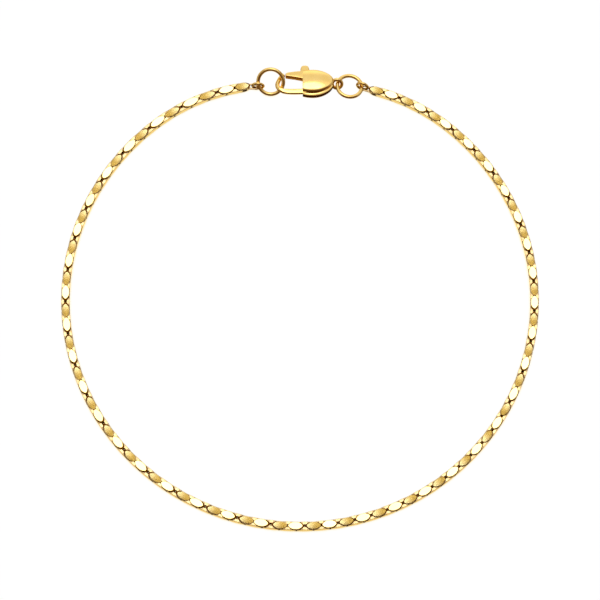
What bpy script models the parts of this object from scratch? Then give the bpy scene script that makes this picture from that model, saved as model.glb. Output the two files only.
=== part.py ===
"""A faceted chain bracelet with a lobster clasp, lying closed on a surface.

Metres, +Z up. The loop lies round the Z axis with its underside at z = 0 and its clasp at +Y.
"""

import math

import bmesh
import bpy
from mathutils import Matrix, Vector

MM = 0.001

# The loop: nearly a circle, drawn in a little on both sides of the clasp
LOOP_RADIUS = 30.3 * MM
END_DIP = 1.45 * MM
DIP_REACH = math.radians(38)
FIRST_LINK_ANGLE = math.radians(14.71)  # from +Y, anticlockwise seen from above

# The links: flat-sided ovals, every second one turned a quarter about the chain
UPRIGHT_LINKS = 81  # the ones whose ovals show from above
LEFT_LINKS = 81  # of all the links, those in the left half
LINK_PITCH = 1.0765 * MM
HALVES_SLACK = 0.08 * MM  # the two halves hang in each other without touching

# How the chain's spacing runs from its left end: a link's number and its distance to the next in mm.
# It is drawn out to the left of the clasp and pushed up to the right of it, and the links' length
# goes with it.
SPACING = (
    (0, 1.0765),
    (4, 1.280),
    (10, 1.280),
    (20, 1.0800),
    (110, 1.0821),
    (130, 0.970),
    (150, 1.010),
    (160, 1.0765),
)
SECTION = 1.10 * MM
SATIN_SECTION = 1.04 * MM  # the satin ovals lie a little below the bright ones
LINK_HALF = 1.0 * MM
TIP_HALF_WIDTH = 0.07 * MM
SHOULDER = 0.26 * MM
SHOULDER_HALF_WIDTH = 0.43 * MM
WINDOW_HALF = 0.522 * MM  # under half the pitch, so that each link bites into the next
WINDOW_HALF_HEIGHT = 0.33 * MM
OUTLINE_SIDES = 8

# The plain neck link at each end of the chain
NECK_HALF = 0.88 * MM
NECK_SHOULDER = 0.69 * MM
NECK_TIP_HALF_HEIGHT = 0.08 * MM
NECK_HALF_HEIGHT = 0.12 * MM
NECK_SECTION = 0.86 * MM
NECK_WINDOW_HALF = 0.62 * MM
NECK_WINDOW_HALF_WIDTH = 0.27 * MM
NECK_PITCH = WINDOW_HALF + NECK_WINDOW_HALF - 0.02 * MM  # from the last link's centre, biting into it
LEFT_NECK_TURN = math.radians(-14)  # about the last link's end, towards the jump ring
RIGHT_NECK_TURN = math.radians(0)

# The rings: radii of their circles and of their round wires
END_RING_RADIUS = 0.70 * MM
END_RING_WIRE = 0.16 * MM
END_RING_SIDES = 14
END_RING_WIRE_SIDES = 6
# Where each end ring passes through its neck link, from that link's centre, how far the ring leans
# about the neck's line, and how it climbs from there to the jump ring
LEFT_END_RING_REACH = 0.30 * MM
LEFT_END_RING_LEAN = math.radians(-6)
LEFT_END_RING_CLIMB = math.radians(26)
RIGHT_END_RING_REACH = 0.17 * MM
RIGHT_END_RING_LEAN = math.radians(-12)
RIGHT_END_RING_CLIMB = math.radians(26)
JUMP_WIRE = 0.25 * MM
JUMP_SIDES = 20
JUMP_WIRE_SIDES = 8
LEFT_JUMP_RADIUS = 1.66 * MM
LEFT_JUMP_CENTRE = Vector((-3.84, 29.33, 1.25)) * MM
LEFT_JUMP_AXIS = Vector((-0.06, -0.50, 0.865))
RIGHT_JUMP_RADIUS = 1.61 * MM
RIGHT_JUMP_CENTRE = Vector((6.50, 28.75, 1.08)) * MM
RIGHT_JUMP_AXIS = Vector((0.10, 0.20, 0.97))

# The clasp, in its own frame: +X towards its tail, +Z out of its upper cheek
CLASP_CENTRE = Vector((2.27, 29.50, 1.10)) * MM
CLASP_TILT = math.radians(12)  # its near side is propped up by the ring through the claw
BODY_CENTRE = Vector((-0.60, -0.44, 0.0)) * MM  # where the body is widest
BODY_TO_FRONT = 3.0 * MM  # the front half's length, if it weren't cut off at BODY_FRONT
BODY_TO_TAIL = 2.75 * MM
BODY_FRONT = -1.91 * MM
BODY_HALF_WIDTH = 1.90 * MM
BODY_HALF_HEIGHT = 1.0 * MM
BODY_SIDES = 22
BODY_RINGS = 10
WALL_POWER = 0.4  # under 1 makes the side wall steep
CHEEK_POWER = 0.75  # under 1 makes the cheeks flatter
TAIL_TAPER = 0.10
SLOT_HALF_HEIGHT = 0.45 * MM
ARM_RADIUS = 0.32 * MM
ARM_HEIGHT_SHARE = 1.15
EYE_CENTRE = Vector((2.60, -0.46, 0.0)) * MM
EYE_LEAN = math.radians(36)  # from standing on edge, its far side upwards
EYE_RADIUS = 0.62 * MM
EYE_WIRE = 0.17 * MM
EYE_SIDES = 14
EYE_WIRE_SIDES = 6

# The claw's centreline from its tip round to the body: x and y in mm, and the thickness as a share
CLAW = (
    (-4.40, 0.88, 0.82),
    (-4.74, 0.58, 0.86),
    (-5.07, -0.02, 0.88),
    (-5.24, -0.62, 0.90),
    (-5.06, -1.16, 0.92),
    (-4.56, -1.52, 1.0),
    (-3.90, -1.64, 1.12),
    (-2.60, -1.66, 1.15),
    (-0.60, -1.55, 1.15),
)

# The slot between the cheeks, open at the front and along the far side: x and y in mm
SLOT = (
    (-3.0, -1.15),
    (0.50, -1.15),
    (0.95, -0.70),
    (0.95, 0.60),
    (0.30, 1.20),
    (0.30, 2.60),
    (-3.0, 2.60),
)

# The lever's outline in the clasp's frame: x and y in mm
LEVER = (
    (-4.11, 0.54),
    (-4.14, 0.92),
    (-3.90, 1.10),
    (-2.95, 1.26),
    (-2.22, 1.32),
    (-2.20, 1.70),
    (-2.08, 2.04),
    (-1.85, 2.17),
    (-1.42, 2.17),
    (-1.19, 2.04),
    (-1.07, 1.70),
    (-1.02, 1.35),
    (-0.50, 1.10),
    (-0.25, 0.70),
    (-0.25, 0.20),
    (-0.55, -0.15),
    (-1.10, -0.22),
    (-2.00, 0.14),
    (-3.00, 0.36),
)
PIVOT = Vector((-0.95, 0.45, 0.0)) * MM
LEVER_HALF_HEIGHT = 0.41 * MM
RIVET_RADIUS = 0.25 * MM
RIVET_HALF = 0.66 * MM
BORE_GAP = 0.04 * MM
PIN_SIDES = 16

GOLD = (0.83, 0.56, 0.20)
BRIGHT_GOLD = (0.95, 0.74, 0.38)


def clear_scene():
    for thing in list(bpy.data.objects):
        bpy.data.objects.remove(thing, do_unlink=True)


def new_collection(name):
    made = bpy.data.collections.new(name)
    bpy.context.scene.collection.children.link(made)
    return made


def gold(name, colour, roughness):
    made = bpy.data.materials.new(name)
    made.use_nodes = True
    shader = made.node_tree.nodes["Principled BSDF"]
    shader.inputs["Base Color"].default_value = (*colour, 1.0)
    shader.inputs["Metallic"].default_value = 1.0
    shader.inputs["Roughness"].default_value = roughness
    return made


def add(name, mesh, home, material=None):
    thing = bpy.data.objects.new(name, mesh)
    home.objects.link(thing)
    if material:
        mesh.materials.clear()
        mesh.materials.append(material)
    return thing


def add_cutter(name, mesh, home):
    thing = add(name, mesh, home)
    thing.hide_render = True
    thing.display_type = "WIRE"
    return thing


def combine(thing, other, operation):
    step = thing.modifiers.new(f"{operation.lower()}_{other.name}", "BOOLEAN")
    step.operation = operation
    step.solver = "EXACT"
    step.object = other


def to_mesh(bm, name):
    mesh = bpy.data.meshes.new(name)
    bm.to_mesh(mesh)
    bm.free()
    return mesh


def place(point, towards, up):
    """A frame at a point, its +X along towards and its +Z as near to up as that allows."""
    ahead = towards.normalized()
    across = up.cross(ahead).normalized()
    above = ahead.cross(across)
    turn = Matrix((ahead, across, above)).transposed().to_4x4()
    return Matrix.Translation(point) @ turn


def mesh_of(thing):
    """The thing's finished mesh in world space with its loose caps welded; the thing itself goes."""
    bpy.context.view_layer.update()
    graph = bpy.context.evaluated_depsgraph_get()
    mesh = bpy.data.meshes.new_from_object(thing.evaluated_get(graph))
    mesh.transform(thing.matrix_world)
    bpy.data.objects.remove(thing, do_unlink=True)
    bm = bmesh.new()
    bm.from_mesh(mesh)
    bmesh.ops.remove_doubles(bm, verts=bm.verts, dist=0.001 * MM)
    bm.to_mesh(mesh)
    bm.free()
    return mesh


def link_mesh(name, half, shoulder, width, tip, height, window, window_height):
    """A link standing on edge: an oval bar at its top and bottom and a post at each end.

    All sizes but the height are halves: width and tip are the oval's at its shoulder and its tips.
    """
    bm = bmesh.new()
    bmesh.ops.create_cone(
        bm, cap_ends=True, segments=OUTLINE_SIDES, radius1=1, radius2=1, depth=height
    )
    half_step = Matrix.Rotation(math.pi / OUTLINE_SIDES, 3, "Z")
    bmesh.ops.rotate(bm, verts=bm.verts, cent=(0, 0, 0), matrix=half_step)
    for vert in bm.verts:
        at_tip = abs(vert.co.x) > abs(vert.co.y)
        vert.co.x = math.copysign(half if at_tip else shoulder, vert.co.x)
        vert.co.y = math.copysign(tip if at_tip else width, vert.co.y)
    for at, along in ((window, Vector((1, 0, 0))), (window_height, Vector((0, 0, 1)))):
        for side in (-at, at):
            everything = bm.verts[:] + bm.edges[:] + bm.faces[:]
            bmesh.ops.bisect_plane(
                bm, geom=everything, plane_co=along * side, plane_no=along
            )
    in_window = [
        face
        for face in bm.faces
        if abs(face.calc_center_median().x) < window
        and abs(face.calc_center_median().z) < window_height
    ]
    bmesh.ops.delete(bm, geom=in_window, context="FACES")
    rims = [edge for edge in bm.edges if edge.is_boundary]
    bmesh.ops.bridge_loops(bm, edges=rims)
    bmesh.ops.dissolve_limit(
        bm, angle_limit=math.radians(1), verts=bm.verts, edges=bm.edges
    )
    bmesh.ops.recalc_face_normals(bm, faces=bm.faces)
    return to_mesh(bm, name)


def loop_point(angle):
    """A point of the chain's centreline, at an angle from the clasp."""
    near = max(0.0, 1.0 - min(angle, math.tau - angle) / DIP_REACH)
    radius = LOOP_RADIUS - END_DIP * near**2
    return Vector((-radius * math.sin(angle), radius * math.cos(angle), SECTION / 2))


def spacing(at):
    """The links' spacing at a link's number, or between two links."""
    for (start, near), (stop, far) in zip(SPACING, SPACING[1:]):
        if at <= stop:
            break
    return (near + (far - near) * (at - start) / (stop - start)) * MM


def link_frames():
    """A frame at the centre of every link, from the chain's left end to its right end."""
    points, angle = [], FIRST_LINK_ANGLE
    for index in range(2 * UPRIGHT_LINKS - 1):
        points.append(loop_point(angle))
        step = spacing(index + 0.5) - (HALVES_SLACK if index == LEFT_LINKS - 1 else 0)
        angle += step / points[-1].to_2d().length
    frames, last = [], len(points) - 1
    for index, point in enumerate(points):
        ahead = points[min(index + 1, last)] - points[max(index - 1, 0)]
        stretch = Matrix.Diagonal((spacing(index) / LINK_PITCH, 1, 1, 1))
        frames.append(place(point, ahead, Vector((0, 0, 1))) @ stretch)
    return frames


def joined(name, placed):
    """One mesh out of meshes and the frames they go in."""
    bm = bmesh.new()
    for mesh, frame in placed:
        before = len(bm.verts)
        bm.from_mesh(mesh)
        bmesh.ops.transform(bm, matrix=frame, verts=bm.verts[before:])
    return to_mesh(bm, name)


def add_chain(frames, home, cutters, material):
    """The chain's two halves, each one body whose links bite into each other where they meet."""
    oval = (LINK_HALF, SHOULDER, SHOULDER_HALF_WIDTH, TIP_HALF_WIDTH)
    window = (WINDOW_HALF, WINDOW_HALF_HEIGHT)
    bright = link_mesh("bright_link", *oval, SECTION, *window)
    satin = link_mesh("satin_link", *oval, SATIN_SECTION, *window)
    neck = link_mesh(
        "neck_link",
        NECK_HALF,
        NECK_SHOULDER,
        NECK_HALF_HEIGHT,
        NECK_TIP_HALF_HEIGHT,
        NECK_SECTION,
        NECK_WINDOW_HALF,
        NECK_WINDOW_HALF_WIDTH,
    )
    turned = Matrix.Rotation(math.pi / 2, 4, "X")
    halves = (
        ("chain_left", range(0, LEFT_LINKS), neck_frame(frames[0], -1, LEFT_NECK_TURN)),
        ("chain_right", range(LEFT_LINKS, len(frames)), neck_frame(frames[-1], 1, RIGHT_NECK_TURN)),
    )
    for name, indices, at_neck in halves:
        upright, lying = [], []
        for index in indices:
            if index % 2:
                lying.append((bright, frames[index] @ turned))
            else:
                upright.append((bright if index % 4 else satin, frames[index]))
        lying.append((neck, at_neck @ turned))
        half = add(name, joined(name, upright), home, material)
        other = add_cutter(f"{name}_lying", joined(f"{name}_lying", lying), cutters)
        combine(half, other, "UNION")


def neck_frame(end, side, turn):
    """The frame of the neck link beside the end link; side is -1 at the chain's left end."""
    post = (WINDOW_HALF + LINK_HALF) / 2
    to_post = Matrix.Translation((side * post, 0, 0))
    to_neck = Matrix.Translation((side * (NECK_PITCH - post), 0, 0))
    return end @ to_post @ Matrix.Rotation(turn, 4, "Z") @ to_neck


def end_ring_place(neck, side, reach, lean, climb):
    """The centre and axis of the ring through a neck link's outer end."""
    out = Vector((side, 0, 0))
    up = Vector((0, math.sin(lean), math.cos(lean)))
    centre = out * reach + END_RING_RADIUS * (math.cos(climb) * out + math.sin(climb) * up)
    return neck @ centre, neck.to_3x3() @ out.cross(up)


def add_ring(name, centre, axis, radius, wire, sides, wire_sides, home, material):
    bpy.ops.mesh.primitive_torus_add(
        major_segments=sides,
        minor_segments=wire_sides,
        major_radius=radius,
        minor_radius=wire,
        location=centre,
        rotation=Vector((0, 0, 1)).rotation_difference(axis).to_euler(),
    )
    ring = bpy.context.object
    ring.name = ring.data.name = name
    for old in list(ring.users_collection):
        old.objects.unlink(ring)
    home.objects.link(ring)
    ring.data.materials.append(material)
    ring.data.shade_smooth()
    return ring


def flat_outline(name, points, half_height):
    """A plate with this outline, given in mm."""
    curve = bpy.data.curves.new(name, "CURVE")
    curve.dimensions = "2D"
    curve.fill_mode = "BOTH"
    curve.extrude = half_height
    spline = curve.splines.new("POLY")
    spline.points.add(len(points) - 1)
    for point, (x, y) in zip(spline.points, points):
        point.co = (x * MM, y * MM, 0, 1)
    spline.use_cyclic_u = True
    thing = bpy.data.objects.new(name, curve)
    bpy.context.scene.collection.objects.link(thing)
    return mesh_of(thing)


def claw_mesh():
    """The claw and the arm that carries it, a bar bent round to the body."""
    curve = bpy.data.curves.new("claw", "CURVE")
    curve.dimensions = "3D"
    curve.bevel_depth = ARM_RADIUS
    curve.bevel_resolution = 2
    curve.resolution_u = 3
    curve.use_fill_caps = True
    spline = curve.splines.new("BEZIER")
    spline.bezier_points.add(len(CLAW) - 1)
    for point, (x, y, share) in zip(spline.bezier_points, CLAW):
        point.co = (x * MM, y * MM, 0)
        point.radius = share
        point.handle_left_type = point.handle_right_type = "AUTO"
    thing = bpy.data.objects.new("claw", curve)
    thing.scale.z = ARM_HEIGHT_SHARE
    bpy.context.scene.collection.objects.link(thing)
    return mesh_of(thing)


def cheeks_mesh():
    """The domed teardrop of the clasp's body, cut flat at its front."""
    bm = bmesh.new()
    bmesh.ops.create_uvsphere(
        bm, u_segments=BODY_SIDES, v_segments=BODY_RINGS, radius=1
    )
    for vert in bm.verts:
        x, y, z = vert.co
        out = math.hypot(x, y)
        steep = out**WALL_POWER / out if out > 0.01 else 1.0
        taper = 1.0 - TAIL_TAPER * max(0.0, x * steep) ** 2
        vert.co.x = x * steep * (BODY_TO_TAIL if x > 0 else BODY_TO_FRONT)
        vert.co.y = y * steep * BODY_HALF_WIDTH * taper
        vert.co.z = math.copysign(abs(z) ** CHEEK_POWER, z) * BODY_HALF_HEIGHT
        vert.co += BODY_CENTRE
    everything = bm.verts[:] + bm.edges[:] + bm.faces[:]
    cut = bmesh.ops.bisect_plane(
        bm,
        geom=everything,
        plane_co=(BODY_FRONT, 0, 0),
        plane_no=(-1, 0, 0),
        clear_outer=True,
    )
    rim = [part for part in cut["geom_cut"] if isinstance(part, bmesh.types.BMEdge)]
    bmesh.ops.holes_fill(bm, edges=rim)
    bmesh.ops.recalc_face_normals(bm, faces=bm.faces)
    return to_mesh(bm, "cheeks")


def pin_mesh(name, radius, half):
    bm = bmesh.new()
    bmesh.ops.create_cone(
        bm, cap_ends=True, segments=PIN_SIDES, radius1=radius, radius2=radius, depth=2 * half
    )
    return to_mesh(bm, name)


def add_clasp(home, cutters, material):
    frame = bpy.data.objects.new("clasp_frame", None)
    frame.location = CLASP_CENTRE
    frame.rotation_euler = (-CLASP_TILT, 0, 0)
    home.objects.link(frame)

    body = add("clasp_body", cheeks_mesh(), home, material)
    claw = add_cutter("claw", claw_mesh(), cutters)
    across = Vector((0, -math.cos(EYE_LEAN), math.sin(EYE_LEAN)))
    eye = add_ring(
        "tail_eye", EYE_CENTRE, across, EYE_RADIUS, EYE_WIRE, EYE_SIDES, EYE_WIRE_SIDES, cutters, material
    )
    eye.hide_render = True
    eye.display_type = "WIRE"
    slot = add_cutter("slot", flat_outline("slot", SLOT, SLOT_HALF_HEIGHT), cutters)
    bore = add_cutter(
        "bore", pin_mesh("bore", RIVET_RADIUS + BORE_GAP, RIVET_HALF + BORE_GAP), cutters
    )
    bore.location = PIVOT
    lever = add("clasp_lever", flat_outline("lever", LEVER, LEVER_HALF_HEIGHT), home, material)
    lever.data.transform(Matrix.Translation(-PIVOT))
    lever.location = PIVOT
    rivet = add("clasp_rivet", pin_mesh("clasp_rivet", RIVET_RADIUS, RIVET_HALF), home, material)
    rivet.location = PIVOT

    for thing in (body, claw, eye, slot, bore, lever, rivet):
        thing.parent = frame
    combine(body, claw, "UNION")
    combine(body, eye, "UNION")
    combine(body, slot, "DIFFERENCE")
    combine(body, bore, "DIFFERENCE")
    combine(lever, bore, "DIFFERENCE")


def add_rings(frames, home, material):
    jump_rings = (
        ("jump_ring_left", LEFT_JUMP_CENTRE, LEFT_JUMP_AXIS, LEFT_JUMP_RADIUS),
        ("jump_ring_right", RIGHT_JUMP_CENTRE, RIGHT_JUMP_AXIS, RIGHT_JUMP_RADIUS),
    )
    for name, centre, axis, radius in jump_rings:
        add_ring(name, centre, axis, radius, JUMP_WIRE, JUMP_SIDES, JUMP_WIRE_SIDES, home, material)
    left_neck = neck_frame(frames[0], -1, LEFT_NECK_TURN)
    right_neck = neck_frame(frames[-1], 1, RIGHT_NECK_TURN)
    left_lie = (LEFT_END_RING_REACH, LEFT_END_RING_LEAN, LEFT_END_RING_CLIMB)
    right_lie = (RIGHT_END_RING_REACH, RIGHT_END_RING_LEAN, RIGHT_END_RING_CLIMB)
    end_rings = (
        ("end_ring_left", end_ring_place(left_neck, -1, *left_lie)),
        ("end_ring_right", end_ring_place(right_neck, 1, *right_lie)),
    )
    for name, (centre, axis) in end_rings:
        add_ring(
            name,
            centre,
            axis,
            END_RING_RADIUS,
            END_RING_WIRE,
            END_RING_SIDES,
            END_RING_WIRE_SIDES,
            home,
            material,
        )


def main():
    clear_scene()
    home = new_collection("bracelet")
    cutters = new_collection("cutters")
    cutters.hide_render = True
    chain_gold = gold("diamond_cut_gold", BRIGHT_GOLD, 0.18)
    polished = gold("polished_gold", GOLD, 0.12)
    frames = link_frames()
    add_chain(frames, home, cutters, chain_gold)
    add_rings(frames, home, polished)
    add_clasp(home, cutters, polished)


main()
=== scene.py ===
"""Looks for a faceted gold chain bracelet with a lobster clasp, lying closed on a white table.

Metres, +Z up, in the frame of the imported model. Sizes are given in mm and scaled once.
"""

import math

import bmesh
import bpy
from mathutils import Matrix, Vector


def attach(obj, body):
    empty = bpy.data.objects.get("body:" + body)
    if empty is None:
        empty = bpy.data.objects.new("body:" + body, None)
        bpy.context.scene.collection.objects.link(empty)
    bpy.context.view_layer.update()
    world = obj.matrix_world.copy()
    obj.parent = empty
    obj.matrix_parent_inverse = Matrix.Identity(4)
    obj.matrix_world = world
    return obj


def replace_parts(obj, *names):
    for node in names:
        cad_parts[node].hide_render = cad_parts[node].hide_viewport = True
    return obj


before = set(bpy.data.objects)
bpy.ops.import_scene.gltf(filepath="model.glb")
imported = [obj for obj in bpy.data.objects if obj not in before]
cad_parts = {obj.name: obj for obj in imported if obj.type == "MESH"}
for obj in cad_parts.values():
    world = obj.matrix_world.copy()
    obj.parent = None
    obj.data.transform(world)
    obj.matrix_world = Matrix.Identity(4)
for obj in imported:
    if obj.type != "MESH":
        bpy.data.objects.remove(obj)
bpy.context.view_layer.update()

MM = 0.001
UP = Vector((0, 0, 1))

# The loop of the chain: nearly a circle, drawn in a little on both sides of the clasp
LOOP_RADIUS = 30.3 * MM
END_DIP = 1.45 * MM
DIP_REACH = math.radians(38)
FIRST_LINK_ANGLE = math.radians(14.71)
UPRIGHT_LINKS = 81
LEFT_LINKS = 81
LINK_PITCH = 1.0765 * MM
HALVES_SLACK = 0.08 * MM

# How the chain's spacing runs from its left end: a link's number and its distance to the next in mm.
# It is drawn out to the left of the clasp and pushed up to the right of it, and the links' length
# goes with it.
SPACING = (
    (0, 1.0765),
    (4, 1.280),
    (10, 1.280),
    (20, 1.0800),
    (110, 1.0821),
    (130, 0.970),
    (150, 1.010),
    (160, 1.0765),
)
SECTION = 1.10 * MM
SATIN_SECTION = 1.04 * MM

# One link: a pointed oval plate above and below, with a post at each end
LINK_HALF = 1.02 * MM
LINK_HALF_WIDTH = 0.525 * MM
SIDE_HALF_WIDTH = 0.43 * MM
OVAL_POWER = 0.56  # under 1 makes the oval fuller than a parabola
TIP_HALF_WIDTH = 0.09 * MM
WINDOW_HALF = 0.522 * MM
WINDOW_HALF_HEIGHT = 0.33 * MM
WINDOW_MARGIN = 0.01 * MM
BELLY_HALF_HEIGHT = 0.20 * MM  # the side links' round wire, not cut inside, swells towards the middle
BELLY_REACH = (0.9 * WINDOW_HALF, 1.1 * WINDOW_HALF_HEIGHT)  # corners within this take part in it
OVAL_STATIONS = (LINK_HALF, 0.81 * MM, WINDOW_HALF, 0.25 * MM)  # where the oval's corners are
OVAL_SIDES = 4 * len(OVAL_STATIONS)
RIM_RISE = 0.05 * MM
RIM_SHARE = (0.84, 0.84)  # what the sloping rim leaves of the oval's length and width for the cut face
SIDE_RIM_SHARE = (0.97, 0.94)
BROWN_FROM = 0.50 * MM  # rim brown as painted shade from here to a tip, where the cutter left it wide enough
BROWN_WIDTH = 0.11 * MM
DOME_RISE = 0.04 * MM  # the satin ovals' middle above their rim
DOME_SHARE = 0.5
TIP_FROM = 0.99 * LINK_HALF
LEVEL = 0.9  # a face is level where its normal's z is more than this, up or down

# Which of its piece's finishes a face has: on the links the first is the cut, on the clasp the polish
CUT = 0
WIRE = 1
# brown, partly oxide in the links' insides and partly painted shade at tips and undersides
OXIDE_AND_SHADE = 2
POLISHED = 0
# cast gold made darker and redder as painted shade of the clasp's recess
CAST_AND_SHADE = 1

# The links lean, so the bright ovals are nearer the clasp than the satin ones are, and the gap on their
# other side, brown with painted shade, is wider: a link's number and the shift of a bright oval there in
# mm
SHIFT = (
    (0, -0.04),
    (10, -0.08),
    (24, -0.10),
    (74, -0.10),
    (84, 0.0),
    (104, 0.0),
    (114, 0.10),
    (150, 0.10),
    (160, 0.04),
)
CUT_SHIFT = 0.95  # how far the cut face lies off its link's middle, as a share of that shift

# The plain link at each end of the chain, which bites into the last cut one
NECK_HALF = 0.88 * MM
NECK_HALF_HEIGHT = 0.12 * MM
NECK_WIDTH = 0.78 * MM
NECK_BAR = 0.28 * MM
NECK_ROUNDING = 0.04 * MM
NECK_INWARD = 0.01 * MM  # faces that look towards the neck's middle from further off line its window
NECK_WINDOW_HALF = 0.62 * MM
NECK_BITE = 0.02 * MM
NECK_PITCH = WINDOW_HALF + NECK_WINDOW_HALF - NECK_BITE
LEFT_NECK_TURN = math.radians(-14)
RIGHT_NECK_TURN = 0.0

# The rings. An end ring's lie is its reach from the neck's middle, its lean and its climb
END_RING_RADIUS = 0.70 * MM
END_RING_WIRE = 0.19 * MM
END_RING_LIFT = 0.03 * MM
LEFT_END_RING = (0.30 * MM, math.radians(-6), math.radians(26))
RIGHT_END_RING = (0.17 * MM, math.radians(-12), math.radians(26))
JUMP_WIRE = 0.25 * MM
JUMP_RINGS = {
    "jump_ring_left": (Vector((-3.84, 29.33, 1.25)) * MM, Vector((-0.06, -0.50, 0.865)), 1.66 * MM),
    "jump_ring_right": (Vector((6.50, 28.75, 1.08)) * MM, Vector((0.10, 0.20, 0.97)), 1.61 * MM),
}
RING_STEPS = 72
SMALL_RING_STEPS = 48
WIRE_SIDES = 16
SEAM_SHARE = 0.95  # a soldered joint is filed down a little
SEAMS = {"jump_ring_left": 2.2, "jump_ring_right": 0.6}  # where that is, in radians round the ring
WELD = 0.001 * MM  # corners nearer than this are made one

# The clasp, in its own frame: +X towards its tail, +Z out of its upper cheek
CLASP_CENTRE = Vector((2.27, 29.50, 1.10)) * MM
CLASP_TILT = math.radians(12)
IN_CLASP = Matrix.Translation(CLASP_CENTRE) @ Matrix.Rotation(-CLASP_TILT, 4, "X")
BODY_CENTRE = Vector((-0.60, -0.44, 0.0)) * MM
BODY_TO_FRONT = 3.0 * MM
BODY_TO_TAIL = 2.75 * MM
BODY_FRONT = -1.91 * MM
BODY_HALF_WIDTH = 1.90 * MM
TAIL_TAPER = 0.10
SLOT_NEAR = -1.15 * MM
SLOT_TAIL = 0.95 * MM
CHEEK_CENTRE = Vector((-0.60, -0.29, 0.0)) * MM
CHEEK_HALF_WIDTH = 1.64 * MM
CHEEK_ROUNDING = 0.05 * MM
BODY_STEPS = 72
ARM_RADIUS = 0.32 * MM
ARM_HEIGHT_SHARE = 1.15
ARM_FLAT = Vector((0.0, -1.64, 0.29)) * MM  # a point of the flat that is filed on the arm
ARM_FLAT_LEAN = math.radians(9)
ARM_FLAT_ROUNDING = 0.05 * MM
CLAW_END_ROUNDING = 0.12 * MM
EYE_CENTRE = Vector((2.60, -0.46, 0.0)) * MM
EYE_LEAN = math.radians(36)
EYE_RADIUS = 0.62 * MM
EYE_WIRE = 0.22 * MM
LEVER_HALF_HEIGHT = 0.41 * MM
LEVER_CORNER_ROUNDING = 0.09 * MM
LEVER_ROUNDING = 0.24 * MM
GATE_INSIDE = -0.35  # faces of the lever whose normal's y is below this look into the clasp
GATE_UNDERSIDE = -0.2  # and of these, the ones whose normal's z is below this look down
GATE_TOP = 0.90 * MM

# The clasp's profiles, from its middle outwards and back: share of the outline, and height in mm
UPPER_CHEEK = (
    (0.0, 1.0),
    (0.15, 0.993),
    (0.30, 0.972),
    (0.45, 0.936),
    (0.60, 0.886),
    (0.75, 0.822),
    (0.86, 0.766),
    (0.91, 0.735),
    (0.95, 0.695),
    (0.98, 0.640),
    (0.995, 0.580),
    (1.0, 0.520),
    (0.985, 0.495),
    (0.93, 0.495),
    (0.93, 0.450),
    (0.0, 0.450),
)
WALL = (
    (0.0, 0.44),
    (0.80, 0.44),
    (0.80, 0.20),
    (0.815, 0.165),
    (0.84, 0.15),
    (0.955, 0.095),
    (0.985, 0.05),
    (1.0, -0.04),
    (1.003, -0.22),
    (0.99, -0.40),
    (0.97, -0.44),
    (0.0, -0.44),
)
LEDGE_TOP = WALL[3][1] * MM
LEDGE_EDGE = WALL[6][1] * MM
LOWER_CHEEK = (
    (0.0, -0.45),
    (0.975, -0.45),
    (0.985, -0.48),
    (0.965, -0.60),
    (0.92, -0.72),
    (0.84, -0.82),
    (0.70, -0.90),
    (0.50, -0.95),
    (0.25, -0.975),
    (0.0, -0.985),
)

# The claw's centreline from its tip round to the body: x and y in mm, and the thickness as a share
CLAW = (
    (-4.40, 0.88, 0.82),
    (-4.74, 0.58, 0.86),
    (-5.07, -0.02, 0.88),
    (-5.24, -0.62, 0.90),
    (-5.06, -1.16, 0.92),
    (-4.56, -1.52, 1.0),
    (-3.90, -1.64, 1.12),
    (-2.60, -1.66, 1.15),
    (-0.60, -1.55, 1.15),
)

# The lever's outline in the clasp's frame: x and y in mm
LEVER = (
    (-4.18, 0.54),
    (-4.21, 0.92),
    (-3.90, 1.10),
    (-2.95, 1.26),
    (-2.22, 1.32),
    (-2.20, 1.70),
    (-2.08, 2.04),
    (-1.85, 2.17),
    (-1.42, 2.17),
    (-1.19, 2.04),
    (-1.07, 1.70),
    (-1.02, 1.35),
    (-0.50, 1.10),
    (-0.25, 0.70),
    (-0.25, 0.20),
    (-0.55, -0.15),
    (-1.10, -0.22),
    (-2.00, 0.14),
    (-3.00, 0.36),
)


# Materials


# Patterns on the gold, in mm. Real tool lines are a few micrometres apart, satin scratches 0.02 mm
# apart and hair scratches 0.01 mm wide. Here they are coarser, so that they show
TOOL_LINE_SPACING = 0.1496
TOOL_LINE_DEPTH = 0.002
SCRATCH_SPACING = 0.16982
SCRATCH_DEPTH = 0.010
SCRATCH_ANGLES = (38, -47)  # in degrees from the link's length
CUT_SWELL = 3.84615  # the size of the soft swells that bend the tool lines
SATIN_SWELL = 5.0
POLISH_WAVE = 10 / 9
POLISH_WAVE_DEPTH = 0.012
HAIR_SIZE = (10 / 9, 5 / 33, 1 / 3)  # the second is a hair's width
HAIR_SHARE = 0.12  # of a wave's depth
WIRE_GRAIN = 0.5
RECESS_GRAIN = 0.3
CAST_GRAIN = 0.35
GRAIN_DEPTH_SHARE = 0.02

# How near another surface shades the drawn wire, and between which shares of open air its painted shade
# fades from brown
WIRE_SHADE_REACH = 0.16 * MM
WIRE_SHADE_SHARES = (0.36, 0.76)
SHADE_SAMPLES = 8

# Along a satin oval in mm: where its painted shading begins to lighten from dark, and where it is
# lightest
SATIN_SHADE_FADE = (-0.45, 1.0)
SATIN_SHADE_EDGE = 0.25  # how far the scratches break up that fade, in mm


def linear(code):
    """A colour's linear values from its sRGB hex code."""
    parts = [int(code[at : at + 2], 16) / 255 for at in (1, 3, 5)]
    return (*(p / 12.92 if p <= 0.04045 else ((p + 0.055) / 1.055) ** 2.4 for p in parts), 1.0)


def put(tree, kind, settings, links=()):
    """Adds a node, sets its properties and sockets, and links sockets to other nodes' outputs."""
    made = tree.nodes.new(kind)
    for key, value in settings.items():
        if isinstance(key, str) and hasattr(made, key):
            setattr(made, key, value)
        else:
            made.inputs[key].default_value = value
    for key, output in dict(links).items():
        tree.links.new(output, made.inputs[key])
    return made


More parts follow.
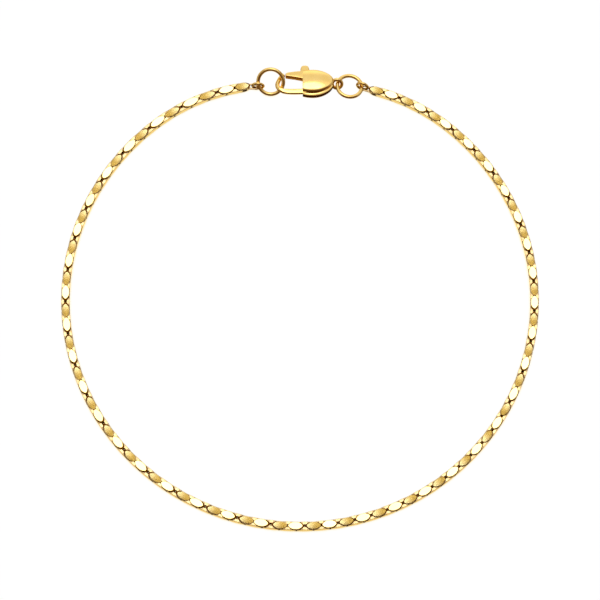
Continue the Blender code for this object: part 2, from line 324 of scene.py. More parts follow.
def finish_of(name, colour, roughness, edge="#FFEEBE"):
    """A new gold, its node tree and its shader; edge is the gold's colour seen at a glancing angle."""
    made = bpy.data.materials.new(name)
    made.use_nodes = True
    shader = made.node_tree.nodes["Principled BSDF"]
    shader.inputs["Base Color"].default_value = linear(colour)
    shader.inputs["Metallic"].default_value = 1.0
    shader.inputs["Roughness"].default_value = roughness
    shader.inputs["Specular Tint"].default_value = linear(edge)
    return made, made.node_tree, shader


def dress(tree, shader, colour, roughness, bump):
    """Links the last nodes of a gold's colour, roughness and bump to its shader."""
    tree.links.new(colour.outputs[2], shader.inputs["Base Color"])
    tree.links.new(roughness.outputs[0], shader.inputs["Roughness"])
    tree.links.new(bump.outputs[0], shader.inputs["Normal"])


def wave_scale(spacing):
    """The scale that puts a wave texture's bands this far apart in its coordinates."""
    return math.pi / 10 / spacing


def noise_scale(size):
    """The scale of a noise on Object coordinates whose swells have this size in mm."""
    return 1 / (size * MM)


def drifting_map(tree, swell):
    """The cut map in mm, a noise with swells of this size, and the map as the noise bends it."""
    cut_map = put(tree, "ShaderNodeUVMap", {"uv_map": "cut_mm"})
    place_of = put(tree, "ShaderNodeTexCoord", {})
    drift = put(
        tree,
        "ShaderNodeTexNoise",
        {"Scale": noise_scale(swell), "Detail": 1.0},
        {"Vector": place_of.outputs["Object"]},
    )
    bent = put(
        tree,
        "ShaderNodeVectorMath",
        {"operation": "ADD"},
        {0: cut_map.outputs["UV"], 1: drift.outputs["Color"]},
    )
    return cut_map.outputs["UV"], drift, bent.outputs[0]


def diamond_cut_gold():
    """14 ct gold planed by a turning diamond: a flat mirror that faint tool lines streak."""
    made, tree, shader = finish_of("diamond_cut_gold", "#FFDF91", 0.07)
    _, drift, bent = drifting_map(tree, CUT_SWELL)
    lines = put(
        tree,
        "ShaderNodeTexWave",
        {
            "bands_direction": "Y",
            "Scale": wave_scale(TOOL_LINE_SPACING),
            "Distortion": 0.7,
            "Detail": 2.0,
        },
        {"Vector": bent},
    )
    streak = put(
        tree,
        "ShaderNodeMapRange",
        {"To Min": 0.05, "To Max": 0.11},
        {"Value": lines.outputs["Fac"]},
    )
    tint = put(
        tree,
        "ShaderNodeMix",
        {"data_type": "RGBA", 6: linear("#F4DA8A"), 7: linear("#FFE8AC")},
        {0: drift.outputs["Fac"]},
    )
    bump = put(
        tree,
        "ShaderNodeBump",
        {"Strength": 1.0, "Distance": TOOL_LINE_DEPTH * MM},
        {"Height": lines.outputs["Fac"]},
    )
    dress(tree, shader, tint, streak, bump)
    return made


def satin_gold_and_shade():
    """14 ct gold scratched by a wire wheel: crossing scratches spread the light.

    Its colour is painted shading, dark towards each oval's -X end and light towards its +X end, where the
    scratches break up the fade.
    """
    made, tree, shader = finish_of("satin_gold_and_shade", "#DDA850", 0.40)
    cut_map, _, bent = drifting_map(tree, SATIN_SWELL)
    hatch = []
    for degrees in SCRATCH_ANGLES:
        turned = put(
            tree,
            "ShaderNodeMapping",
            {"Rotation": (0, 0, math.radians(degrees))},
            {"Vector": bent},
        )
        scratches = put(
            tree,
            "ShaderNodeTexWave",
            {
                "bands_direction": "X",
                "Scale": wave_scale(SCRATCH_SPACING),
                "Distortion": 0.9,
                "Detail": 2.0,
                "Detail Scale": 2.0,
            },
            {"Vector": turned.outputs[0]},
        )
        hatch.append(scratches.outputs["Fac"])
    darker = put(tree, "ShaderNodeMath", {"operation": "MINIMUM"}, {0: hatch[0], 1: hatch[1]})
    crossing = darker.outputs[0]
    along = put(tree, "ShaderNodeSeparateXYZ", {}, {"Vector": cut_map}).outputs["X"]
    ragged = put(
        tree,
        "ShaderNodeMath",
        {"operation": "MULTIPLY_ADD", 1: SATIN_SHADE_EDGE},
        {0: crossing, 2: along},
    )
    shade_fade = put(
        tree,
        "ShaderNodeMapRange",
        {
            "interpolation_type": "SMOOTHSTEP",
            "From Min": SATIN_SHADE_FADE[0],
            "From Max": SATIN_SHADE_FADE[1],
        },
        {"Value": ragged.outputs[0]},
    )
    # Painted shading: dark towards the oval's -X end, light towards its +X end
    tint = put(
        tree,
        "ShaderNodeMix",
        {"data_type": "RGBA", 6: linear("#CEAE5A"), 7: linear("#F6E8AE")},
        {0: shade_fade.outputs[0]},
    )
    spread = put(
        tree,
        "ShaderNodeMapRange",
        {"To Min": 0.46, "To Max": 0.34},
        {"Value": shade_fade.outputs[0]},
    )
    bump = put(
        tree,
        "ShaderNodeBump",
        {"Strength": 1.0, "Distance": SCRATCH_DEPTH * MM},
        {"Height": crossing},
    )
    dress(tree, shader, tint, spread, bump)
    return made


def grained(name, dark, light, roughness, size, edge="#FFEEBE"):
    """A gold with a skin of soft grain, from a dark colour and roughness to a light one; size in mm."""
    made, tree, shader = finish_of(name, light, roughness[1], edge)
    place_of = put(tree, "ShaderNodeTexCoord", {})
    grain = put(
        tree,
        "ShaderNodeTexNoise",
        {"Scale": noise_scale(size), "Detail": 3.0, "Roughness": 0.6},
        {"Vector": place_of.outputs["Object"]},
    )
    patch = put(
        tree,
        "ShaderNodeMapRange",
        {"From Min": 0.35, "From Max": 0.65},
        {"Value": grain.outputs["Fac"]},
    )
    tint = put(
        tree,
        "ShaderNodeMix",
        {"data_type": "RGBA", 6: linear(dark), 7: linear(light)},
        {0: patch.outputs[0]},
    )
    spread = put(
        tree,
        "ShaderNodeMapRange",
        {"To Min": roughness[0], "To Max": roughness[1]},
        {"Value": patch.outputs[0]},
    )
    bump = put(
        tree,
        "ShaderNodeBump",
        {"Strength": 0.5, "Distance": GRAIN_DEPTH_SHARE * size * MM},
        {"Height": grain.outputs["Fac"]},
    )
    dress(tree, shader, tint, spread, bump)
    return made


def drawn_wire_gold_and_shade():
    """14 ct wire as it left the draw plate: a duller, paler skin, painted brown as shade by its
    neighbours.
    """
    made = grained("drawn_wire_gold_and_shade", "#D8BC8A", "#EAD2A0", (0.38, 0.30), WIRE_GRAIN)
    tree = made.node_tree
    shader = tree.nodes["Principled BSDF"]
    unshaded = shader.inputs["Base Color"].links[0].from_socket
    shade = put(
        tree,
        "ShaderNodeAmbientOcclusion",
        {"samples": SHADE_SAMPLES, "Distance": WIRE_SHADE_REACH},
    )
    open_air = put(
        tree,
        "ShaderNodeMapRange",
        {
            "interpolation_type": "SMOOTHSTEP",
            "From Min": WIRE_SHADE_SHARES[0],
            "From Max": WIRE_SHADE_SHARES[1],
        },
        {"Value": shade.outputs["AO"]},
    )
    # Painted shade: brown where nearby surfaces close in
    tint = put(
        tree,
        "ShaderNodeMix",
        {"data_type": "RGBA", 6: linear("#4A2608")},
        {0: open_air.outputs[0], 7: unshaded},
    )
    tree.links.new(tint.outputs[2], shader.inputs["Base Color"])
    return made


def oxide_and_shade_gold():
    """14 ct gold, dark brown: oxide in the links' insides, painted shade at their tips and the clasp's
    undersides.
    """
    return grained(
        "oxide_and_shade_gold", "#5A3404", "#805008", (0.60, 0.45), RECESS_GRAIN, edge="#5A3410"
    )


def cast_and_shade_gold():
    """14 ct gold as cast, in the clasp's recess: duller than polish, and darker and redder as painted
    shade.
    """
    return grained("cast_and_shade_gold", "#C98232", "#E0A048", (0.34, 0.26), CAST_GRAIN)


def polished_gold():
    """14 ct gold, cast and tumbled with steel shot: a mirror with soft waves and hair scratches."""
    made, tree, shader = finish_of("polished_gold", "#FADA8C", 0.10)
    place_of = put(tree, "ShaderNodeTexCoord", {})
    waves = put(
        tree,
        "ShaderNodeTexNoise",
        {"Scale": noise_scale(POLISH_WAVE), "Detail": 1.5},
        {"Vector": place_of.outputs["Object"]},
    )
    stretched = put(
        tree,
        "ShaderNodeMapping",
        {"Scale": tuple(noise_scale(size) for size in HAIR_SIZE), "Rotation": (0.2, 0.1, 0.5)},
        {"Vector": place_of.outputs["Object"]},
    )
    hairs = put(
        tree,
        "ShaderNodeTexNoise",
        {"Scale": 1.0, "Detail": 2.0, "Distortion": 0.6},
        {"Vector": stretched.outputs[0]},
    )
    worn = put(
        tree,
        "ShaderNodeMapRange",
        {"From Min": 0.40, "From Max": 0.70, "To Min": 0.08, "To Max": 0.20},
        {"Value": hairs.outputs["Fac"]},
    )
    tint = put(
        tree,
        "ShaderNodeMix",
        {"data_type": "RGBA", 6: linear("#F2CC72"), 7: linear("#FFE29A")},
        {0: waves.outputs["Fac"]},
    )
    height = put(
        tree,
        "ShaderNodeMath",
        {"operation": "MULTIPLY_ADD", 1: HAIR_SHARE},
        {0: hairs.outputs["Fac"], 2: waves.outputs["Fac"]},
    )
    bump = put(
        tree,
        "ShaderNodeBump",
        {"Strength": 1.0, "Distance": POLISH_WAVE_DEPTH * MM},
        {"Height": height.outputs[0]},
    )
    dress(tree, shader, tint, worn, bump)
    return made


# Making pieces


def piece(name, bm, finishes, body="bracelet"):
    """A finished piece on its body; its place is already in its mesh."""
    mesh = bpy.data.meshes.new(name)
    bm.to_mesh(mesh)
    bm.free()
    for finish in finishes:
        mesh.materials.append(finish)
    thing = bpy.data.objects.new(name, mesh)
    bpy.context.scene.collection.objects.link(thing)
    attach(thing, body)
    return thing


def soften(bm, degrees=35):
    """Smooth faces, with sharp edges where they meet at more than this angle."""
    limit = math.radians(degrees)
    for face in bm.faces:
        face.smooth = True
    for edge in bm.edges:
        edge.smooth = edge.calc_face_angle(0) < limit


def place(point, direction, up):
    """A frame at a point, its +X along a direction and its +Z as near to up as that allows."""
    ahead = direction.normalized()
    across = up.cross(ahead).normalized()
    above = ahead.cross(across)
    turn = Matrix((ahead, across, above)).transposed().to_4x4()
    return Matrix.Translation(point) @ turn


def standing(centre, axis):
    """A frame at a centre, its +Z along an axis."""
    return Matrix.Translation(centre) @ UP.rotation_difference(axis).to_matrix().to_4x4()


def round_off(bm, edges, width, segments, clamp_overlap=False):
    """Rounds edges off over this width."""
    bmesh.ops.bevel(
        bm,
        geom=edges,
        offset=width,
        segments=segments,
        profile=0.5,
        affect="EDGES",
        clamp_overlap=clamp_overlap,
        material=-1,
    )


def spin_round(bm, steps):
    """Spins a profile once round the Z axis."""
    bmesh.ops.spin(
        bm,
        geom=bm.verts[:] + bm.edges[:],
        cent=(0, 0, 0),
        axis=UP,
        angle=math.tau,
        steps=steps,
        use_merge=True,
        use_duplicate=False,
    )


def weld(bm):
    """Makes doubled corners one and points the faces outwards."""
    bmesh.ops.remove_doubles(bm, verts=bm.verts, dist=WELD)
    bmesh.ops.recalc_face_normals(bm, faces=bm.faces)


def loop_point(angle):
    """The centre of the chain's wire at an angle from +Y, anticlockwise seen from above."""
    near = max(0.0, 1.0 - min(angle, math.tau - angle) / DIP_REACH)
    radius = LOOP_RADIUS - END_DIP * near**2
    return Vector((-radius * math.sin(angle), radius * math.cos(angle), SECTION / 2))


def between(table, at):
    """A table's value in mm at a link's number, or between two links."""
    for (start, near), (stop, far) in zip(table, table[1:]):
        if at <= stop:
            break
    return (near + (far - near) * (at - start) / (stop - start)) * MM


def link_frames():
    """A frame at the centre of every link, from the chain's left end to its right end.

    The frame is stretched along the chain, as the links' spacing is.
    """
    points = []
    angle = FIRST_LINK_ANGLE
    for index in range(2 * UPRIGHT_LINKS - 1):
        points.append(loop_point(angle))
        step = between(SPACING, index + 0.5)
        if index == LEFT_LINKS - 1:
            step -= HALVES_SLACK
        angle += step / points[-1].to_2d().length
    frames = []
    last = len(points) - 1
    for index, point in enumerate(points):
        ahead = points[min(index + 1, last)] - points[max(index - 1, 0)]
        stretch = Matrix.Diagonal((between(SPACING, index) / LINK_PITCH, 1, 1, 1))
        frames.append(place(point, ahead, UP) @ stretch)
    return frames


def neck_frame(end, side, turn):
    """The frame of the neck link beside the end link; side is -1 at the chain's left end."""
    post = (WINDOW_HALF + LINK_HALF) / 2
    to_post = Matrix.Translation((side * post, 0, 0))
    to_neck = Matrix.Translation((side * (NECK_PITCH - post), 0, 0))
    return end @ to_post @ Matrix.Rotation(turn, 4, "Z") @ to_neck


def end_ring_place(neck, side, reach, lean, climb):
    """The frame of the ring through a neck link's outer end, its +Z along the ring's axis."""
    out = Vector((side, 0, 0))
    up = Vector((0, math.sin(lean), math.cos(lean)))
    centre = out * reach + END_RING_RADIUS * (math.cos(climb) * out + math.sin(climb) * up)
    axis = neck.to_3x3() @ out.cross(up)
    return standing(neck @ centre + END_RING_LIFT * UP, axis)


def tapered(bm, face, rise, shares, slide=0.0):
    """Extrudes a face along +Z or -Z, narrows it and slides it along X, and gives the new face."""
    outward = math.copysign(1, face.normal.z)
    made = bmesh.ops.extrude_face_region(bm, geom=[face])["geom"]
    top = next(part for part in made if isinstance(part, bmesh.types.BMFace))
    bmesh.ops.delete(bm, geom=[face], context="FACES_ONLY")
    bmesh.ops.scale(bm, vec=(*shares, 1), verts=top.verts)
    bmesh.ops.translate(bm, vec=(slide, 0, outward * rise), verts=top.verts)
    return top


def link(height, half_width=LINK_HALF_WIDTH):
    """A blank link standing on edge: a plate above and below, and a post at each end."""
    bm = bmesh.new()
    bmesh.ops.create_cone(
        bm, cap_ends=True, segments=OVAL_SIDES, radius1=1, radius2=1, depth=height
    )
    half_step = math.pi / OVAL_SIDES
    bmesh.ops.rotate(bm, verts=bm.verts, cent=(0, 0, 0), matrix=Matrix.Rotation(half_step, 3, "Z"))
    for vert in bm.verts:
        angle = math.atan2(abs(vert.co.y), abs(vert.co.x))
        station = OVAL_STATIONS[int(angle / (2 * half_step))]
        width = half_width * (1 - (station / LINK_HALF) ** 2) ** OVAL_POWER
        vert.co.x = math.copysign(station, vert.co.x)
        vert.co.y = math.copysign(max(TIP_HALF_WIDTH, width), vert.co.y)
    for side in (-1, 1):
        everything = bm.verts[:] + bm.edges[:] + bm.faces[:]
        level = Vector((0, 0, side * WINDOW_HALF_HEIGHT))
        bmesh.ops.bisect_plane(bm, geom=everything, plane_co=level, plane_no=UP)
    in_window = [
        face
        for face in bm.faces
        if abs(face.calc_center_median().x) < WINDOW_HALF - WINDOW_MARGIN
        and abs(face.calc_center_median().z) < WINDOW_HALF_HEIGHT
    ]
    bmesh.ops.delete(bm, geom=in_window, context="FACES")
    # Faces at the posts' ends and the window's inner walls take the brown of oxide and painted shade
    for face in bm.faces:
        at_tip = abs(face.calc_center_median().x) > TIP_FROM
        face.material_index = OXIDE_AND_SHADE if at_tip else WIRE
    rims = [edge for edge in bm.edges if edge.is_boundary]
    for face in bmesh.ops.bridge_loops(bm, edges=rims)["faces"]:
        face.material_index = OXIDE_AND_SHADE
    return bm


def is_brown(rim_face, share, slide):
    """Whether a face of a link's rim is at a tip where the rim is wide, so brown as painted shade."""
    at = rim_face.calc_center_median().x
    width = LINK_HALF * (1 - share) - slide * math.copysign(1, at)
    return abs(at) > BROWN_FROM and width > BROWN_WIDTH


def finished_link(bm, shares, slide=0.0, dome=0.0):
    """Cuts a blank link's upper and lower face to a smaller oval with a sloping rim round it.

    Shares are what the rim leaves of its length and width, slide moves the cut face along X, and dome
    raises its middle.
    """
    bmesh.ops.dissolve_limit(
        bm, angle_limit=math.radians(1), verts=bm.verts, edges=bm.edges, delimit={"MATERIAL"}
    )
    bmesh.ops.recalc_face_normals(bm, faces=bm.faces)
    for edge in bm.edges:
        edge.smooth = False
    blanks = [
        face for face in bm.faces if abs(face.normal.z) > LEVEL and face.material_index == WIRE
    ]
    for blank in blanks:
        top = tapered(bm, blank, RIM_RISE, shares, slide)
        brink = set(top.edges)
        for edge in brink:
            edge.smooth = False
            for face in edge.link_faces:
                face.material_index = OXIDE_AND_SHADE if is_brown(face, shares[0], slide) else WIRE
        top.material_index = CUT
        if dome:
            top = tapered(bm, top, dome, (DOME_SHARE, DOME_SHARE))
            for face in {face for edge in top.edges for face in edge.link_faces}:
                face.smooth = True
                face.material_index = CUT
                for edge in face.edges:
                    edge.smooth = edge not in brink
    lay_cut_map(bm)
    return bm


def bright_link(shift):
    """A bright link, its wide rim at its +X end."""
    return finished_link(link(SECTION - 2 * RIM_RISE), RIM_SHARE, -abs(shift) * CUT_SHIFT)


def satin_link(shift):
    """A satin link, its wide rim at its +X end."""
    blank = link(SATIN_SECTION - 2 * RIM_RISE - 2 * DOME_RISE)
    return finished_link(blank, RIM_SHARE, -abs(shift) * CUT_SHIFT, dome=DOME_RISE)


def side_link():
    """A link that lies across: its round wire, not cut inside, swells towards the window's middle."""
    blank = link(SECTION - 2 * RIM_RISE, SIDE_HALF_WIDTH)
    reach, height = BELLY_REACH
    for vert in blank.verts:
        if abs(vert.co.x) < reach and abs(vert.co.z) < height:
            vert.co.z = math.copysign(BELLY_HALF_HEIGHT, vert.co.z)
    return finished_link(blank, SIDE_RIM_SHARE)


def lay_cut_map(bm):
    """The link's own map in mm: along it, and across or up."""
    cut_map = bm.loops.layers.uv.new("cut_mm")
    for face in bm.faces:
        flat = abs(face.normal.z) > 0.5
        for loop in face.loops:
            x, y, z = loop.vert.co / MM
            loop[cut_map].uv = (x, y if flat else z)


def neck_link():
    """The plain flat link that joins the chain to its end ring."""
    bm = bmesh.new()
    bmesh.ops.create_cube(bm, size=2)
    bmesh.ops.scale(bm, vec=(NECK_HALF, NECK_WIDTH / 2, NECK_HALF_HEIGHT), verts=bm.verts)
    walls = [face for face in bm.faces if abs(face.normal.z) > LEVEL]
    bmesh.ops.inset_individual(bm, faces=walls, thickness=NECK_BAR)
    bmesh.ops.delete(bm, geom=walls, context="FACES")
    rims = [edge for edge in bm.edges if edge.is_boundary]
    bmesh.ops.bridge_loops(bm, edges=rims)
    round_off(bm, bm.edges[:], NECK_ROUNDING, segments=2)
    bmesh.ops.recalc_face_normals(bm, faces=bm.faces)
    # Faces lining the window take the brown of painted shade between neck and chain
    for face in bm.faces:
        inward = face.normal.xy.dot(face.calc_center_median().xy) < -NECK_INWARD
        face.material_index = OXIDE_AND_SHADE if inward else WIRE
    lay_cut_map(bm)
    soften(bm, degrees=40)
    return bm


def joined(placed):
    """One bmesh out of bmeshes and the frames they go in, which frees them."""
    bm = bmesh.new()
    for part, at in placed:
        scratch = bpy.data.meshes.new("scratch")
        part.to_mesh(scratch)
        before = len(bm.verts)
        bm.from_mesh(scratch)
        bm.verts.ensure_lookup_table()
        bmesh.ops.transform(bm, matrix=at, verts=bm.verts[before:])
        bpy.data.meshes.remove(scratch)
    for part, _ in placed:
        if part.is_valid:
            part.free()
    return bm


def ring(radius, wire, at, steps=RING_STEPS, sides=WIRE_SIDES, seam=None):
    """A closed round wire; seam is the angle of its soldered joint."""
    bm = bmesh.new()
    bmesh.ops.create_circle(bm, segments=sides, radius=wire)
    bmesh.ops.rotate(bm, verts=bm.verts, cent=(0, 0, 0), matrix=Matrix.Rotation(math.pi / 2, 3, "X"))
    bmesh.ops.translate(bm, vec=(radius, 0, 0), verts=bm.verts)
    spin_round(bm, steps)
    weld(bm)
    if seam is not None:
        turn = Matrix.Rotation(seam, 4, "Z")
        middle = turn @ Vector((radius, 0, 0))
        half_step = radius * math.pi / steps
        filed = []
        for vert in bm.verts:
            beside = turn.inverted() @ vert.co
            if beside.x > 0 and abs(beside.y) < half_step:
                filed.append(vert)
        bmesh.ops.scale(bm, vec=(SEAM_SHARE,) * 3, space=Matrix.Translation(-middle), verts=filed)
    for face in bm.faces:
        face.smooth = True
    bmesh.ops.transform(bm, matrix=at, verts=bm.verts)
    return bm


def add_chain(frames, bright_gold, satin, wire, oxide_and_shade):
    """Both halves of the chain, each a piece of bright, one of satin and one of side links."""
    on_side = Matrix.Rotation(math.pi / 2, 4, "X")
    about = Matrix.Rotation(math.pi, 4, "Z")
    halves = (
        ("left", range(0, LEFT_LINKS), neck_frame(frames[0], -1, LEFT_NECK_TURN)),
        ("right", range(LEFT_LINKS, len(frames)), neck_frame(frames[-1], 1, RIGHT_NECK_TURN)),
    )
    for side, indices, at_neck in halves:
        across = side_link()
        kinds = {"bright": [], "satin": [], "side": []}
        for index in indices:
            shift = between(SHIFT, index)
            if index % 2:
                kinds["side"].append((across, frames[index] @ on_side))
            elif index % 4:
                at = frames[index] @ Matrix.Translation((shift, 0, 0))
                kinds["bright"].append((bright_link(shift), at if shift < 0 else at @ about))
            else:
                at = frames[index]
                kinds["satin"].append((satin_link(shift), at if shift > 0 else at @ about))
        kinds["side"].append((neck_link(), at_neck))
        for kind, placed in kinds.items():
            finishes = (satin if kind == "satin" else bright_gold, wire, oxide_and_shade)
            made = piece(f"{kind}_links_{side}", joined(placed), finishes)
            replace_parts(made, f"chain_{side}")


def add_rings(frames, gold):
    """The two jump rings and the two small end rings."""
    for name, (centre, axis, radius) in JUMP_RINGS.items():
        at = standing(centre, axis)
        made = piece(f"round_{name}", ring(radius, JUMP_WIRE, at, seam=SEAMS[name]), (gold,))
        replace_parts(made, name)
    ends = (
        ("end_ring_left", neck_frame(frames[0], -1, LEFT_NECK_TURN), -1, LEFT_END_RING),
        ("end_ring_right", neck_frame(frames[-1], 1, RIGHT_NECK_TURN), 1, RIGHT_END_RING),
    )
    for name, neck, side, lie in ends:
        at = end_ring_place(neck, side, *lie)
        closed = ring(END_RING_RADIUS, END_RING_WIRE, at, steps=SMALL_RING_STEPS)
        made = piece(f"round_{name}", closed, (gold,))
        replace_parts(made, name)


def turned(profile, centre, half_width):
    """A closed form turned from a profile and drawn out to the clasp body's outline."""
    bm = bmesh.new()
    verts = [bm.verts.new((share, 0, height * MM)) for share, height in profile]
    for pair in zip(verts, verts[1:]):
        bm.edges.new(pair)
    spin_round(bm, BODY_STEPS)
    for vert in bm.verts:
        x, y = vert.co.xy
        taper = 1.0 - TAIL_TAPER * max(0.0, x) ** 2
        vert.co.x = x * (BODY_TO_TAIL if x > 0 else BODY_TO_FRONT)
        vert.co.y = y * half_width * taper
        vert.co += centre
    weld(bm)
    return bm


def cut(bm, point, outward, rounding=0.0):
    """Cuts off what lies beyond a plane, closes the cut and rounds its rim."""
    everything = bm.verts[:] + bm.edges[:] + bm.faces[:]
    made = bmesh.ops.bisect_plane(
        bm, geom=everything, plane_co=point, plane_no=outward, clear_outer=True
    )
    rim = [part for part in made["geom_cut"] if isinstance(part, bmesh.types.BMEdge)]
    bmesh.ops.holes_fill(bm, edges=rim)
    if rounding:
        round_off(bm, rim, rounding, segments=3, clamp_overlap=True)
    bmesh.ops.recalc_face_normals(bm, faces=bm.faces)


def cheek(profile, centre, half_width):
    """A cheek of the clasp, cut flat at its front."""
    bm = turned(profile, centre, half_width)
    cut(bm, (BODY_FRONT, 0, 0), (-1, 0, 0), rounding=CHEEK_ROUNDING)
    soften(bm)
    return bm


def band():
    """The wall between the cheeks, along the near side and round the tail, and its polished ledge."""
    parts = []
    for tail in (False, True):
        bm = turned(WALL, BODY_CENTRE, BODY_HALF_WIDTH)
        cut(bm, (BODY_FRONT, 0, 0), (-1, 0, 0))
        if tail:
            cut(bm, (SLOT_TAIL, 0, 0), (-1, 0, 0))
            cut(bm, (0, SLOT_NEAR, 0), (0, -1, 0))
        else:
            cut(bm, (0, SLOT_NEAR, 0), (0, 1, 0))
        parts.append((bm, Matrix.Identity(4)))
    bm = joined(parts)
    # Above the ledge the wall is cast gold in painted shade, and below its edge the brown of painted
    # shade
    for face in bm.faces:
        height = face.calc_center_median().z
        if height > LEDGE_TOP:
            face.material_index = CAST_AND_SHADE
        elif height < LEDGE_EDGE:
            face.material_index = OXIDE_AND_SHADE
        else:
            face.material_index = POLISHED
    soften(bm)
    return bm


def claw():
    """The claw and the arm that carries it, a bar bent round to the body."""
    curve = bpy.data.curves.new("claw_line", "CURVE")
    curve.dimensions = "3D"
    curve.bevel_depth = ARM_RADIUS
    curve.bevel_resolution = 6
    curve.resolution_u = 10
    curve.use_fill_caps = True
    spline = curve.splines.new("BEZIER")
    spline.bezier_points.add(len(CLAW) - 1)
    for point, (x, y, share) in zip(spline.bezier_points, CLAW):
        point.co = (x * MM, y * MM, 0)
        point.radius = share
        point.handle_left_type = point.handle_right_type = "AUTO"
    thing = bpy.data.objects.new("claw_line", curve)
    bpy.context.scene.collection.objects.link(thing)
    bpy.context.view_layer.update()
    mesh = bpy.data.meshes.new_from_object(
        thing.evaluated_get(bpy.context.evaluated_depsgraph_get())
    )
    bpy.data.objects.remove(thing, do_unlink=True)
    bm = bmesh.new()
    bm.from_mesh(mesh)
    bpy.data.meshes.remove(mesh)
    bmesh.ops.remove_doubles(bm, verts=bm.verts, dist=WELD)
    bmesh.ops.scale(bm, vec=(1, 1, ARM_HEIGHT_SHARE), verts=bm.verts)
    caps = [face for face in bm.faces if len(face.verts) > 4]
    round_off(bm, [edge for cap in caps for edge in cap.edges], CLAW_END_ROUNDING, segments=3)
    off_flat = (0, -math.sin(ARM_FLAT_LEAN), math.cos(ARM_FLAT_LEAN))
    cut(bm, ARM_FLAT, off_flat, rounding=ARM_FLAT_ROUNDING)
    soften(bm, degrees=50)
    return bm


def lever():
    """The spring lever: a rounded gate in front, its thumb knob, and its seat on the rivet."""
    bm = bmesh.new()
    corners = [bm.verts.new((x * MM, y * MM, -LEVER_HALF_HEIGHT)) for x, y in LEVER]
    face = bm.faces.new(corners)
    made = bmesh.ops.extrude_face_region(bm, geom=[face])["geom"]
    top = [part for part in made if isinstance(part, bmesh.types.BMVert)]
    bmesh.ops.translate(bm, vec=(0, 0, 2 * LEVER_HALF_HEIGHT), verts=top)
    bmesh.ops.recalc_face_normals(bm, faces=bm.faces)
    uprights = [
        edge
        for edge in bm.edges
        if abs(edge.verts[0].co.z - edge.verts[1].co.z) > LEVER_HALF_HEIGHT
    ]
    round_off(bm, uprights, LEVER_CORNER_ROUNDING, segments=2)
    caps = [face for face in bm.faces if abs(face.normal.z) > LEVEL]
    rims = [edge for cap in caps for edge in cap.edges]
    round_off(bm, rims, LEVER_ROUNDING, segments=4, clamp_overlap=True)
    bmesh.ops.recalc_face_normals(bm, faces=bm.faces)
    # Inside the gate faces are cast gold in painted shade, and those looking down the brown of painted
    # shade
    for face in bm.faces:
        inside = face.normal.y < GATE_INSIDE and face.calc_center_median().y < GATE_TOP
        if not inside:
            face.material_index = POLISHED
        elif face.normal.z < GATE_UNDERSIDE:
            face.material_index = OXIDE_AND_SHADE
        else:
            face.material_index = CAST_AND_SHADE
    soften(bm, degrees=40)
    return bm


def add_clasp(gold, cast_and_shade, oxide_and_shade):
    """The clasp's body in five pieces, and its lever."""
    upper = cheek(UPPER_CHEEK, CHEEK_CENTRE, CHEEK_HALF_WIDTH)
    lower = cheek(LOWER_CHEEK, BODY_CENTRE, BODY_HALF_WIDTH)
    eye_turn = Matrix.Translation(EYE_CENTRE) @ Matrix.Rotation(math.pi / 2 - EYE_LEAN, 4, "X")
    eye = ring(EYE_RADIUS, EYE_WIRE, eye_turn, steps=SMALL_RING_STEPS)
    parts = {
        "clasp_cheek_upper": upper,
        "clasp_cheek_lower": lower,
        "clasp_band": band(),
        "clasp_claw": claw(),
        "clasp_tail_eye": eye,
    }
    for name, bm in parts.items():
        bmesh.ops.transform(bm, matrix=IN_CLASP, verts=bm.verts)
        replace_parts(piece(name, bm, (gold, cast_and_shade, oxide_and_shade)), "clasp_body")
    bm = lever()
    bmesh.ops.transform(bm, matrix=IN_CLASP, verts=bm.verts)
    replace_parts(piece("clasp_gate_lever", bm, (gold, cast_and_shade, oxide_and_shade), body="lever"), "clasp_lever")


# The camera, the light and the table


CAMERA_DISTANCE = 500 * MM
CAMERA_ELEVATION = math.radians(73.766)
CAMERA_AIM = Vector((0, -0.303, 0.55)) * MM
SENSOR_WIDTH = 36  # in mm, as the lens is: these are Blender's own units
LENS = 232.04
CLIP = (0.01, 20)  # in metres from the camera
TABLE_REACH = 12.0

# The table's glow where it is open to the air by a share: white, and brown painted shadow between links
TABLE_SHADE_REACH = 0.5 * MM
TABLE_SHADES = (
    (0.22, "#4A2802"),
    (0.32, "#E8C888"),
    (0.42, "#FFF2CE"),
    (0.58, "#FFFCF0"),
    (0.80, "#FFFFFF"),
)


def towards(elevation, azimuth=0.0):
    """A direction from the bracelet: azimuth 0 is +Y and 90 is -X, both in degrees."""
    height = math.sin(math.radians(elevation))
    level = math.cos(math.radians(elevation))
    turn = math.radians(azimuth)
    return Vector((-math.sin(turn) * level, math.cos(turn) * level, height))


def add_camera():
    """A long lens from the photo's angle."""
    data = bpy.data.cameras.new("photo_camera")
    data.sensor_width = SENSOR_WIDTH
    data.lens = LENS
    data.clip_start, data.clip_end = CLIP
    camera = bpy.data.objects.new("photo_camera", data)
    camera.location = CAMERA_AIM + CAMERA_DISTANCE * Vector(
        (0, -math.cos(CAMERA_ELEVATION), math.sin(CAMERA_ELEVATION))
    )
    camera.rotation_euler = (math.pi / 2 - CAMERA_ELEVATION, 0, 0)
    bpy.context.scene.collection.objects.link(camera)
    bpy.context.scene.camera = camera


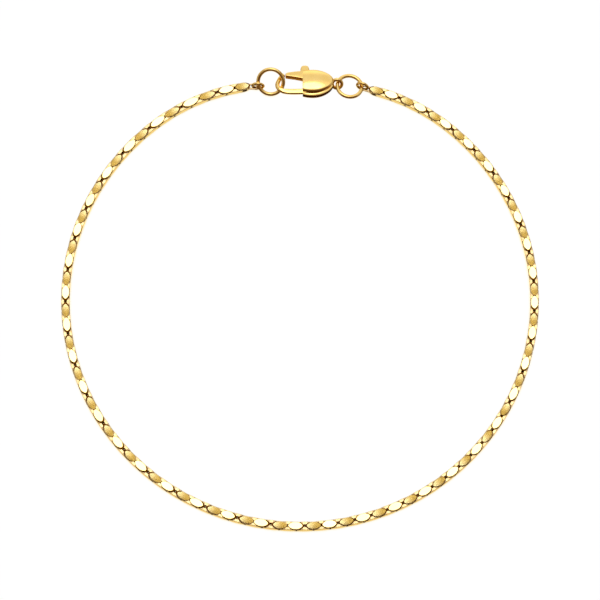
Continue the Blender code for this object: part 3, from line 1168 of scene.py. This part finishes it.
def add_table():
    """A white acrylic table that glows plain white, with brown painted shadow where the gold shades it.
    """
    bm = bmesh.new()
    # One triangle, because a seam between two would show as a hairline in the shade
    bmesh.ops.create_circle(bm, cap_ends=True, segments=3, radius=TABLE_REACH)
    mesh = bpy.data.meshes.new("table")
    bm.to_mesh(mesh)
    bm.free()
    made = bpy.data.materials.new("glowing_acrylic_painted_shadow")
    made.use_nodes = True
    tree = made.node_tree
    shader = tree.nodes["Principled BSDF"]
    shader.inputs["Base Color"].default_value = linear("#202020")
    shader.inputs["Roughness"].default_value = 0.8
    shader.inputs["Specular IOR Level"].default_value = 0.0
    shader.inputs["Emission Strength"].default_value = 1.0
    shade = put(
        tree,
        "ShaderNodeAmbientOcclusion",
        {"samples": SHADE_SAMPLES, "Distance": TABLE_SHADE_REACH},
    )
    colours = put(tree, "ShaderNodeValToRGB", {}, {"Fac": shade.outputs["AO"]})
    ramp = colours.color_ramp
    darkest, *others, lightest = TABLE_SHADES
    for element, (position, code) in zip(ramp.elements, (darkest, lightest)):
        element.position = position
        element.color = linear(code)
    for position, code in others:
        ramp.elements.new(position).color = linear(code)
    tree.links.new(colours.outputs[0], shader.inputs["Emission Color"])
    mesh.materials.append(made)
    table = bpy.data.objects.new("table", mesh)
    table.visible_glossy = False  # the gold mirrors the studio below it, which is not as bright
    bpy.context.scene.collection.objects.link(table)


# The studio as the gold mirrors it: a soft box's direction, the angles from there at which it starts
# to fade and has gone, and its brightness, where 1 shows as white
SOFT_BOXES = (
    (towards(74), 6, 17, 2.0),
    (towards(50), 30, 54, 0.80),
    (towards(90), 20, 45, 0.30),
    (towards(-30), 35, 60, 0.75),
    (towards(15, 90), 12, 45, 0.55),
    (towards(15, -90), 10, 40, 0.50),
    (towards(-90), 20, 50, 0.85),
)
STUDIO_GLOOM = 0.12
NEUTRAL_FROM = 0.625  # dimmer light is warm, which keeps the gold's dark sides from looking grey


def add_light():
    """Soft boxes round the bracelet, as directions of the world."""
    world = bpy.data.worlds.new("studio")
    world.use_nodes = True
    tree = world.node_tree
    around = put(tree, "ShaderNodeTexCoord", {}).outputs["Generated"]
    sum_before = {}
    for direction, full, gone, brightness in SOFT_BOXES:
        facing = put(
            tree,
            "ShaderNodeVectorMath",
            {"operation": "DOT_PRODUCT", 1: tuple(direction)},
            {0: around},
        )
        box = put(
            tree,
            "ShaderNodeMapRange",
            {
                "interpolation_type": "SMOOTHSTEP",
                "From Min": math.cos(math.radians(gone)),
                "From Max": math.cos(math.radians(full)),
                "To Max": brightness,
            },
            {"Value": facing.outputs["Value"]},
        )
        # The first box is added to the gloom, and each other one to the sum before it
        total = put(
            tree,
            "ShaderNodeMath",
            {"operation": "ADD", 0: STUDIO_GLOOM},
            {1: box.outputs[0], **sum_before},
        ).outputs[0]
        sum_before = {0: total}
    background = tree.nodes["Background"]
    bright = put(tree, "ShaderNodeMath", {"operation": "MULTIPLY", 1: 1 / NEUTRAL_FROM}, {0: total})
    colour = put(
        tree,
        "ShaderNodeMix",
        {"data_type": "RGBA", 6: linear("#FFAE58"), 7: linear("#FFF9EE")},
        {0: bright.outputs[0]},
    )
    tree.links.new(colour.outputs[2], background.inputs["Color"])
    tree.links.new(total, background.inputs["Strength"])
    bpy.context.scene.world = world
    bpy.context.scene.view_settings.view_transform = "Standard"


def main():
    """Builds the scene and dresses every node of the part."""
    add_camera()
    add_light()
    add_table()
    polished = polished_gold()
    frames = link_frames()
    oxide_and_shade = oxide_and_shade_gold()
    add_chain(frames, diamond_cut_gold(), satin_gold_and_shade(), drawn_wire_gold_and_shade(), oxide_and_shade)
    add_rings(frames, polished)
    add_clasp(polished, cast_and_shade_gold(), oxide_and_shade)
    rivet = bpy.data.objects["clasp_rivet"]
    rivet.data.materials.clear()
    rivet.data.materials.append(polished)


main()
